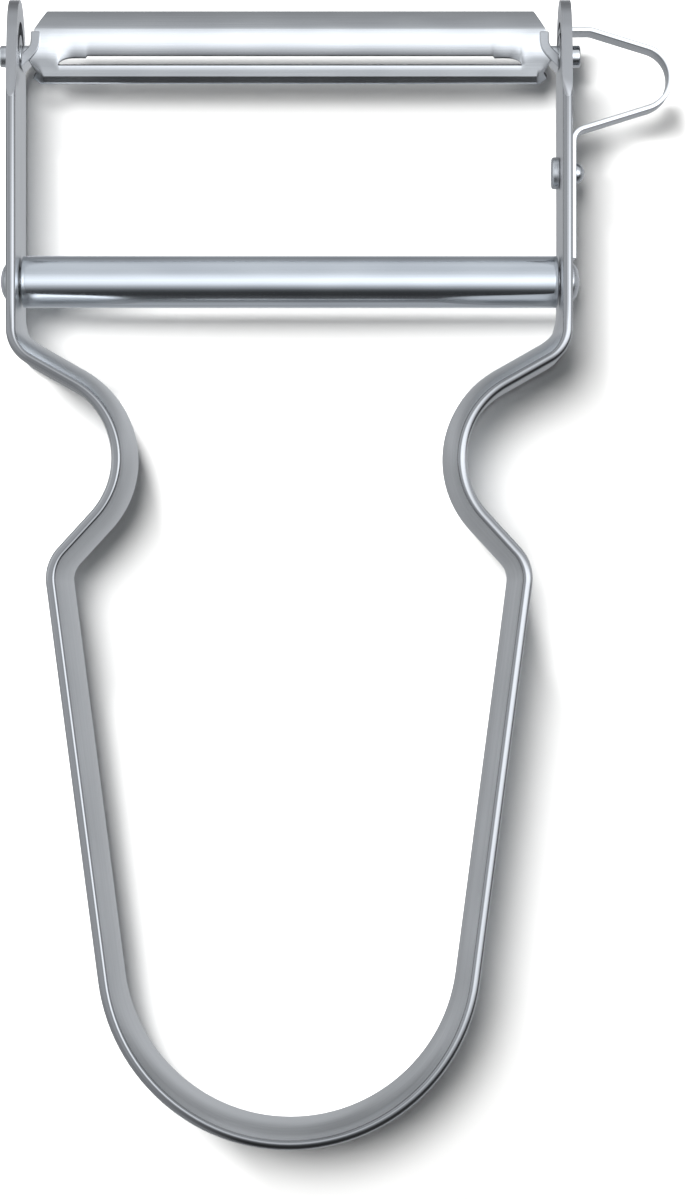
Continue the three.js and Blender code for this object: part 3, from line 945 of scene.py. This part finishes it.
# %% Blade rows
HEEL_ROWS = 7
ARCH_ROWS = 13
GUIDE_ROWS = 2
LIP_ROWS = 3
RIDGE_CLEAR = 0.52
GRIND_POWER = 4
INSIDE_COLUMNS = (0.0, 7.0, 13.0, 16.0, 17.5, 18.5, 19.2)
grind_step = 0.08
SLOT_SHARES = (0.0, 0.2, 0.4, 0.57, 0.71, 0.82, 0.90, 0.95, 1.0)
END_SHARES = (0.15, 0.3, 0.42, 0.52, 0.61, 0.70, 0.78, 0.86, 0.93, 1.0)
CORNER_SHARE = 0.70
lip_corner = (Vector((23.89, -1.93)), Vector((24.05, -2.60)))
lip_corner_end = (Vector((24.45, -1.60)), Vector((24.80, -2.08)))


def heel_points():
    """Section from the heel, which bows a little, up to the ridge."""
    step = (heel_reach - ridge.x) / HEEL_ROWS
    points = [ridge.copy()]
    for i in range(HEEL_ROWS):
        share = (i + 0.5) / HEEL_ROWS
        slope = heel_slope + heel_bow * share
        points.append(points[-1] + Vector((step, -step * math.tan(slope))))
    return points[::-1]


def arch_points(x):
    """Section from below the ridge down to the slot's edge."""
    top = ridge.x - RIDGE_CLEAR
    reaches = [top + (slot_edge(x) - top) * i / (ARCH_ROWS - 1) for i in range(ARCH_ROWS)]
    return [Vector((reach, arch_rise(reach, x))) for reach in reaches]


def guide_points():
    """Section of the guide bar from the slot, over the crease, to the lip."""
    bar = [guide_start.lerp(guide_crease, i / GUIDE_ROWS) for i in range(GUIDE_ROWS)]
    return bar + [guide_crease.lerp(guide_lip, i / LIP_ROWS) for i in range(LIP_ROWS + 1)]


def sheet_end(reach):
    """Where the sheet ends at a reach: set back at the heel, drawn out to the neck below."""
    setback = heel_setback * max(0.0, (reach - ridge.x) / (heel_reach - ridge.x))
    return blade_half - setback + web_reach * smooth(-reach, -web_start, -guide_start.x)


def thickness_offsets(section):
    """How far each point of a section moves to its inner face, with mitred corners."""
    runs = [(b - a).normalized() for a, b in zip(section, section[1:])]
    normals = [Vector((run.y, -run.x)) for run in runs]
    offsets = []
    for before, after in zip(normals[:1] + normals, normals + normals[-1:]):
        offsets.append((before + after) * -blade_thickness / (1 + before.dot(after)))
    return offsets


def corner_share(reach, share):
    """1 on the line that runs on from the slot, fading to 0 at the ridge and the guide's crease."""
    above = (ridge.x - reach) / (ridge.x - guide_start.x)
    below = (reach - guide_crease.x) / (guide_start.x - guide_crease.x)
    return max(0.0, min(above, below, 1.0)) * smooth(share, 0.0, CORNER_SET)


def past_slot(reach, share):
    """Where a row lies in plan past the slot's end, at a share of the way to the sheet's own end."""
    if reach >= guide_start.x:
        return Vector((slot_end + share * (sheet_end(reach) - slot_end), reach))
    beyond = max(0.0, (guide_crease.x - reach) / (guide_crease.x - guide_lip.x))
    corner = lip_corner[0].lerp(lip_corner[1], beyond)
    corner_end = lip_corner_end[0].lerp(lip_corner_end[1], beyond)
    if share <= CORNER_SHARE:
        edge = Vector((slot_end + (corner.x - slot_end) * share / CORNER_SHARE, corner.y))
    else:
        edge = corner.lerp(corner_end, (share - CORNER_SHARE) / (1 - CORNER_SHARE))
    bar = Vector((slot_end + share * (sheet_end(guide_start.x) - slot_end), guide_start.x))
    return bar.lerp(edge, min(1.0, (guide_start.x - reach) / (guide_start.x - guide_crease.x)))


def blade_columns():
    """(x, share) of every column on the right half, from the middle outwards."""
    inside = [*INSIDE_COLUMNS, ground_half - grind_step, ground_half + grind_step]
    curve = [slot_straight + (slot_end - slot_straight) * share for share in SLOT_SHARES]
    return [(x, 0.0) for x in inside + curve] + [(slot_end, s) for s in END_SHARES]


print("blade columns:", 2 * len(blade_columns()) - 1)

# %% [markdown]
# ### From a surface to a sheet
# The rows and columns give the outer face. The inner face is the same section moved in by the
# sheet's thickness, and a rim of quads closes the shell along the outline and round the slot. A
# Solidify modifier does nearly the same, but it keeps no track of which inner point belongs to
# which row. That is needed here: the cutting edge is ground from the inside, so the inner points
# near it are set back by the grinding angle.

# %% Blade sheet
POLISHED, SHEARED, SLOT_WALL = 0, 1, 2
# Share of the sheared edges' near-black painted shade for each kind of face.
sheared_and_shade_share = {POLISHED: 0.0, SHEARED: 0.55, SLOT_WALL: 1.0}


def column_points(x, share):
    """(outer point, inner point) from heel to lip at one column."""
    upper, lower = heel_points() + arch_points(x), guide_points()
    offsets = thickness_offsets(upper) + thickness_offsets(lower)
    pairs = []
    for i, (point, offset) in enumerate(zip(upper + lower, offsets)):
        spot = Vector((x, point.x)) if share == 0 else past_slot(point.x, share)
        row = max(0, i - len(heel_points()) + 1)
        ground = x < ground_half and i < len(upper)
        grind = math.tan(grind_angle) * blade_thickness * (row / ARCH_ROWS) ** GRIND_POWER
        setback = grind if ground else 0.0
        lift = corner_lift * corner_share(point.x, share)
        rise = point.y + lift.y
        spot.y += lift.x
        outer = Vector((spot.x, spot.y, rise))
        inner = Vector((spot.x, spot.y + offset.x + setback, rise + offset.y))
        pairs.append((outer, inner))
    return pairs, len(upper) - 1


def make_sheet():
    shape = bmesh.new()
    half = blade_columns()
    columns = [(-1, x, s) for x, s in reversed(half[1:])] + [(1, x, s) for x, s in half]
    grid = []
    under = {}
    for side, x, share in columns:
        pairs, slot_row = column_points(x, share)
        verts = []
        for i, (outer, inner) in enumerate(pairs):
            if i == slot_row + 1 and x >= slot_end:
                verts.append(verts[-1])
                continue
            vert, below = (
                shape.verts.new((side * p.x, pivot_height + p.y, middle_height + p.z))
                for p in (outer, inner)
            )
            under[vert] = below
            verts.append(vert)
        grid.append(verts)
    for left, right in zip(grid, grid[1:]):
        for i in range(len(left) - 1):
            if i != slot_row:
                shape.faces.new((left[i], left[i + 1], right[i + 1], right[i]))
    outer_faces = list(shape.faces)
    rim = [edge for edge in shape.edges if edge.is_boundary]
    for face in outer_faces:
        shape.faces.new([under[vert] for vert in reversed(face.verts)])
    for edge in rim:
        a, b = edge.verts
        shape.faces.new((a, b, under[b], under[a])).material_index = SLOT_WALL
    bmesh.ops.recalc_face_normals(shape, faces=shape.faces)
    mesh = bpy.data.meshes.new("slotted_blade")
    for index in sheared_and_shade_share:
        mesh.materials.append(None)
    shape.to_mesh(mesh)
    shape.free()
    return place_on_bench("slotted_blade", mesh)


blade_sheet = make_sheet()
print("sheet:", len(blade_sheet.data.polygons), "faces")

# %% [markdown]
# ### Necks and pins
# At each end the sheet turns into a neck: a short upright tongue that runs down beside the blade
# and then slants out to the ear, where it carries the pin. From above only its cut edge shows, as
# an S-shaped band. A prism with two round bends is that tongue. It is joined to the sheet as one
# solid, because the real blade is one pressing. The pins are turned, and their inner ends are cut
# to the slant of the neck.

# %% Necks and pins
neck_end = leg_inner - 0.15
neck_rise = 1.3
neck_drop = 2.5
neck_edge = 0.09
neck_outer_radius = 1.2
neck_inner_radius = 2.0
blade_edge = 0.05
LEVEL = 0.9
pin_stub = 1.0
pin_edge = 0.18


def neck_side(face_x, bend, radius):
    """One face of a right-hand neck in plan, from its head down to the ear."""
    low = bend - (neck_end - face_x) / math.tan(neck_slant)
    line = rounded([(face_x, neck_head), (face_x, bend, radius), (neck_end, low)], step=8)
    return [(x, pivot_height + reach) for x, reach in line]


def make_neck(side):
    outer = neck_side(neck_outer, neck_bend, neck_outer_radius)
    inner = neck_side(neck_inner, neck_inner_bend, neck_inner_radius)
    plan = [(side * x, y) for x, y in outer + inner[::-1]]
    neck = prism(plan, middle_height - neck_drop, middle_height + neck_rise, "Z")
    ease_edges(neck, neck_edge)
    for index in sheared_and_shade_share:
        neck.data.materials.append(None)
    for face in neck.data.polygons:
        face.material_index = SHEARED if abs(face.normal.z) > LEVEL else POLISHED
    return neck


def make_pin(side):
    end = leg_outer + pin_stub
    profile = rounded([
        (neck_inner, 0.0),
        (neck_inner, pin_radius, pin_edge),
        (end, pin_radius, pin_edge),
        (end, 0.0),
    ])
    name = "right_pin" if side > 0 else "left_pin"
    pin = turn_piece(name, [(side * x, r) for x, r in profile], pivot_height, finish_of["pin_steel"])
    face = neck_side(neck_outer, neck_bend + seat_gap * math.tan(neck_slant / 2), neck_outer_radius)
    face = [(x + seat_gap, y) for x, y in face]
    behind = neck_inner - cut_margin
    block = face + [(face[-1][0], pivot_height - cut_margin), (behind, pivot_height - cut_margin)]
    block.append((behind, pivot_height + neck_head))
    return combine(pin, prism([(side * x, y) for x, y in block], -cut_margin, strip_width, "Z"))


# Marks each face with its share of the sheared edges' painted shade.
def mark_sheared_and_shade(blade):
    mask = blade.data.attributes.new("sheared_and_shade", "FLOAT", "FACE")
    for face, place in zip(blade.data.polygons, mask.data):
        place.value = sheared_and_shade_share[face.material_index]


slotted_blade = ease_edges(blade_sheet, blade_edge, sharper_than=30, segments=3)
for side in (-1, 1):
    combine(slotted_blade, make_neck(side), "UNION")
mark_sheared_and_shade(slotted_blade)
left_pin, right_pin = make_pin(-1), make_pin(1)
print("slotted_blade:", len(slotted_blade.data.polygons), "faces")

# %% [markdown]
# ## The loop
# The loop cuts the eyes out of a potato. It is thin spring strip: its foot lies on the leg under
# the short rivet, then it bends out to a round tip and back to a narrow tab, which sits in the
# ear's slot. It follows a line as the frame does, so the same tree bends it, with no gutter.

# %% Loop
gouge_width = 3.4
gouge_line = leg_outer + seat_gap + gouge_thickness / 2
gouge_slope = math.tan(math.radians(17.2))
gouge_foot = tube_height + tube_head_radius + 0.3
gouge_root_radius = 1.3
gouge_tip_radius = 3.02
gouge_shelf_radius = 1.5
gouge_shelf_end = leg_outer + 1.95
gouge_tab_half = 1.3
gouge_edge = 0.12
tab_height = pivot_height + ear_slot_radius - ear_slot_width / 2 + seat_gap + gouge_thickness / 2


def make_gouge_loop():
    span = tab_height - gouge_root_height + gouge_slope * (gouge_line + gouge_shelf_end)
    apex_out = span / (2 * gouge_slope)
    apex_height = gouge_root_height + gouge_slope * (apex_out - gouge_line)
    stations = bent_line([
        (gouge_line, gouge_foot),
        (gouge_line, gouge_root_height, gouge_root_radius),
        (apex_out, apex_height, gouge_tip_radius),
        (gouge_shelf_end, tab_height, gouge_shelf_radius),
        (leg_inner, tab_height),
    ], step=5)
    flat = strip_section(gouge_thickness, gouge_width, gouge_edge)
    section = [(x + gouge_thickness / 2, y) for x, y in flat]
    loop = bend_strip("gouge_loop", stations, section, finish_of["gouge_steel"])
    shoulder = leg_outer + seat_gap
    corner = [
        (leg_inner - cut_margin, tab_height - gouge_thickness),
        (shoulder, tab_height - gouge_thickness),
        (shoulder, tab_height + gouge_thickness),
        (leg_inner - cut_margin, tab_height + gouge_thickness),
    ]
    combine(loop, prism(corner, middle_height + gouge_tab_half, strip_width, "Z"))
    combine(loop, prism(corner, 0.0, middle_height - gouge_tab_half, "Z"))
    hole = gouge_rivet_radius + rivet_hole_gap
    return combine(loop, round_hole(gouge_rivet_height, hole, leg_inner, past))


gouge_loop = make_gouge_loop()
print("gouge_loop:", len(gouge_loop.data.polygons), "faces")

# %% [markdown]
# ## Hand the pieces to the frame
# Each piece is scaled to metres, checked for open edges, and shaded smooth with its sharp edges
# kept sharp. Then it rides on its body and stands for its CAD node, which stays in the simulation
# for collision.

# %% Pieces on their bodies
WELD = 0.0005


def hand_over(thing, node, body, slot, sharp=32):
    mesh = thing.data
    shape = bmesh.new()
    shape.from_mesh(mesh)
    bmesh.ops.remove_doubles(shape, verts=shape.verts, dist=WELD)
    bmesh.ops.dissolve_degenerate(shape, edges=shape.edges, dist=WELD)
    bmesh.ops.recalc_face_normals(shape, faces=shape.faces)
    for face in shape.faces:
        face.material_index = 0
    open_edges = sum(not edge.is_manifold for edge in shape.edges)
    shape.to_mesh(mesh)
    shape.free()
    mesh.transform(Matrix.Scale(MM, 4))
    mesh.materials.clear()
    mesh.materials.append(finish_of[slot])
    mesh.shade_smooth()
    mesh.set_sharp_from_angle(angle=math.radians(sharp))
    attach(thing, body)
    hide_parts(node)
    print(thing.name, "for", node, "on", body, len(mesh.polygons), "faces,", open_edges, "open edges")


hand_over(strip_frame, "handle_strap", "frame", "handle_aluminium")
hand_over(slotted_blade, "peeling_blade", "blade", "blade_steel", sharp=22)
hand_over(left_pin, "pivot_pin_left", "blade", "pin_steel")
hand_over(right_pin, "pivot_pin_right", "blade", "pin_steel")
hand_over(bright_tube, "spacer_tube", "tube", "tube_steel")
hand_over(long_rivet, "tube_rivet", "frame", "rivet_steel")
hand_over(gouge_loop, "eye_gouge", "frame", "gouge_steel")
hand_over(short_rivet, "gouge_rivet", "frame", "rivet_steel")

# %% [markdown]
# ## Floor, light and camera
# The peeler lies on a pale floor under two soft lights, and the photograph gives their places. A
# shadow that starts dark at the strip's foot and is gone after 5 mm means a wide light almost
# overhead, a little to the upper left. The white floor close under the tube means a second, lower
# light from beyond the blade. Both are hidden from reflections, because metal needs something else:
# a large room with a long soft panel. That room is the world, and the floor is hidden from
# reflections too, so the strip's upright faces read as the grey that they have in the photograph.
# The camera looks straight down.

# %% Floor
def pale_floor():
    material = bpy.data.materials.new("pale_floor_paint")
    material.use_nodes = True
    shader = material.node_tree.nodes["Principled BSDF"]
    shader.inputs["Base Color"].default_value = linear("#F2F2F1")
    shader.inputs["Roughness"].default_value = 0.7
    shader.inputs["Specular IOR Level"].default_value = 0.0
    return material


floor_half = 3.0
floor_gap = 0.00002
floor_mesh = bpy.data.meshes.new("floor")
corners = [(-1, -1), (1, -1), (1, 1), (-1, 1)]
corners = [(floor_half * x, floor_half * y, -floor_gap) for x, y in corners]
floor_mesh.from_pydata(corners, [], [(0, 1, 2, 3)])
floor_mesh.materials.append(pale_floor())
floor = place_on_bench("floor", floor_mesh)
floor.visible_glossy = False
print("floor:", 2 * floor_half, "m wide")

# %% Lights
aim = Vector((0.0, 0.052, 0.005))


def add_softbox(name, shape, direction, distance, size, watts):
    """A panel that faces the peeler, its width along X. direction points to the light."""
    lamp = bpy.data.lights.new(name, "AREA")
    lamp.shape = shape
    lamp.size, lamp.size_y = size
    lamp.energy = watts
    box = bpy.data.objects.new(name, lamp)
    bpy.context.scene.collection.objects.link(box)
    towards = Vector(direction).normalized()
    box.location = aim + towards * distance
    across = (Vector((1, 0, 0)) - towards * towards.x).normalized()
    box.rotation_euler = Matrix((across, towards.cross(across), towards)).transposed().to_euler()
    box.visible_camera = False
    box.visible_glossy = False
    return box


add_softbox(
    "overhead_softbox",
    "ELLIPSE",
    direction=(-0.24, 0.27, 1.0),
    distance=1.0,
    size=(0.50, 0.50),
    watts=13.0,
)
add_softbox(
    "far_softbox",
    "RECTANGLE",
    direction=(-0.75, 1.30, 1.0),
    distance=1.2,
    size=(0.60, 0.10),
    watts=26.0,
)

# %% [markdown]
# ### The room that the metal reflects
# The tube is a mirror that looks all round the room, so the room can be read off it from edge to
# edge. The room is the sum of three parts: its walls and floor, one long bright panel overhead, and
# a pale wall on the left. Each part is a product of two ramps. One goes round the room lengthwise,
# in degrees from overhead towards the blade's end, and the other goes from left to right. The panel
# is brightest on the right, because the legs' rims are bright on their right side. The left wall
# keeps the outer side of the left rims grey.

# %% Room
WALLS_LENGTHWISE = (
    (-180, 0.58), (-160, 0.58), (-138, 0.46), (-117, 0.56), (-98, 0.22), (-82, 0.12),
    (-65, 0.05), (-51, 0.06), (-38, 0.17), (-25, 0.40), (-10, 0.55), (20, 0.66), (34, 0.80),
    (63, 0.92), (80, 0.92), (100, 0.54), (115, 0.40), (130, 0.32), (145, 0.56), (160, 0.74),
    (180, 0.58),
)
WALLS_ACROSS = (
    (-1.0, 0.75), (-0.8, 0.85), (-0.5, 0.80), (-0.25, 0.66), (-0.1, 0.94), (0.0, 0.92),
    (0.2, 1.00), (0.5, 1.00), (1.0, 0.90),
)
PANEL_LENGTHWISE = (
    (-180, 0.0), (-41, 0.0), (-25, 0.32), (-11, 1.0), (3, 1.25), (16, 0.90), (31, 0.25),
    (46, 0.0), (180, 0.0),
)
PANEL_ACROSS = (
    (-1.0, 0.0), (-0.4, 0.0), (-0.25, 0.20), (-0.1, 0.80), (0.0, 0.90), (0.13, 1.0), (0.3, 2.4),
    (0.8, 2.4), (0.95, 0.60), (1.0, 0.0),
)
LEFT_LENGTHWISE = (
    (-180, 0.0), (-105, 0.0), (-75, 0.45), (-20, 0.55), (20, 0.55), (75, 0.2), (105, 0.0),
    (180, 0.0),
)
LEFT_ACROSS = (
    (-1.0, 1.0), (-0.45, 1.0), (-0.2, 0.0), (1.0, 0.0),
)
BRIGHTEST = 2.5
FILL = 0.04


def set_stops(ramp, stops, low, high):
    """Writes stops of (value, brightness) between low and high into a colour ramp."""
    while len(ramp.elements) > 1:
        ramp.elements.remove(ramp.elements[0])
    for i, (value, brightness) in enumerate(stops):
        place = (value - low) / (high - low)
        stop = ramp.elements[0] if i == 0 else ramp.elements.new(place)
        stop.position = place
        stop.color = [brightness / BRIGHTEST] * 3 + [1.0]


def studio_world():
    world = bpy.data.worlds.new("studio_room")
    world.use_nodes = True
    tree = world.node_tree
    tree.nodes.clear()
    direction = add_node(tree, "ShaderNodeTexCoord").outputs["Generated"]
    split = add_node(tree, "ShaderNodeSeparateXYZ", {"Vector": direction}).outputs
    lean = add_node(tree, MATH, {0: split["Y"], 1: split["Z"]}, operation="ARCTAN2").outputs[0]
    limits = {"Value": lean, "From Min": -math.pi, "From Max": math.pi}
    lean = add_node(tree, "ShaderNodeMapRange", limits).outputs["Result"]
    limits = {"Value": split["X"], "From Min": -1.0}
    side = add_node(tree, "ShaderNodeMapRange", limits).outputs["Result"]
    total = 0.0
    for lengthwise, across in (
        (WALLS_LENGTHWISE, WALLS_ACROSS),
        (PANEL_LENGTHWISE, PANEL_ACROSS),
        (LEFT_LENGTHWISE, LEFT_ACROSS),
    ):
        round_room = add_node(tree, "ShaderNodeValToRGB", {"Fac": lean})
        set_stops(round_room.color_ramp, lengthwise, -180, 180)
        left_to_right = add_node(tree, "ShaderNodeValToRGB", {"Fac": side})
        set_stops(left_to_right.color_ramp, across, -1.0, 1.0)
        both = {0: round_room.outputs["Color"], 1: left_to_right.outputs["Color"]}
        part = add_node(tree, MATH, both, operation="MULTIPLY").outputs[0]
        total = add_node(tree, MATH, {0: total, 1: part}, operation="ADD").outputs[0]
    strength = {0: total, 1: BRIGHTEST ** 2}
    strength = add_node(tree, MATH, strength, operation="MULTIPLY").outputs[0]
    room = add_node(tree, "ShaderNodeBackground", {"Color": linear("#F6FAFF"), "Strength": strength})
    fill = add_node(tree, "ShaderNodeBackground", {"Color": linear("#FFFFFF"), "Strength": FILL})
    backdrop = add_node(tree, "ShaderNodeBackground", {"Color": linear("#F4F5F6"), "Strength": 1.0})
    ray = add_node(tree, "ShaderNodeLightPath").outputs
    light = {0: ray["Is Glossy Ray"], 1: fill.outputs[0], 2: room.outputs[0]}
    light = add_node(tree, "ShaderNodeMixShader", light)
    seen = {0: ray["Is Camera Ray"], 1: light.outputs[0], 2: backdrop.outputs[0]}
    seen = add_node(tree, "ShaderNodeMixShader", seen)
    add_node(tree, "ShaderNodeOutputWorld", {"Surface": seen.outputs[0]})
    return world


scene = bpy.context.scene
scene.world = studio_world()
scene.view_settings.view_transform = "Standard"
print("room:", len(WALLS_LENGTHWISE), "stops on the walls,", len(PANEL_LENGTHWISE), "on the panel")

# %% Camera
camera_place = (5.63, 51.77, 336.0)
LENS = 102.85
camera = bpy.data.objects.new("camera", bpy.data.cameras.new("camera"))
scene.collection.objects.link(camera)
camera.data.lens = LENS
camera.data.clip_start = 0.01
camera.location = Vector(camera_place) * MM
scene.camera = camera
print("camera", camera_place, "mm, looking straight down")
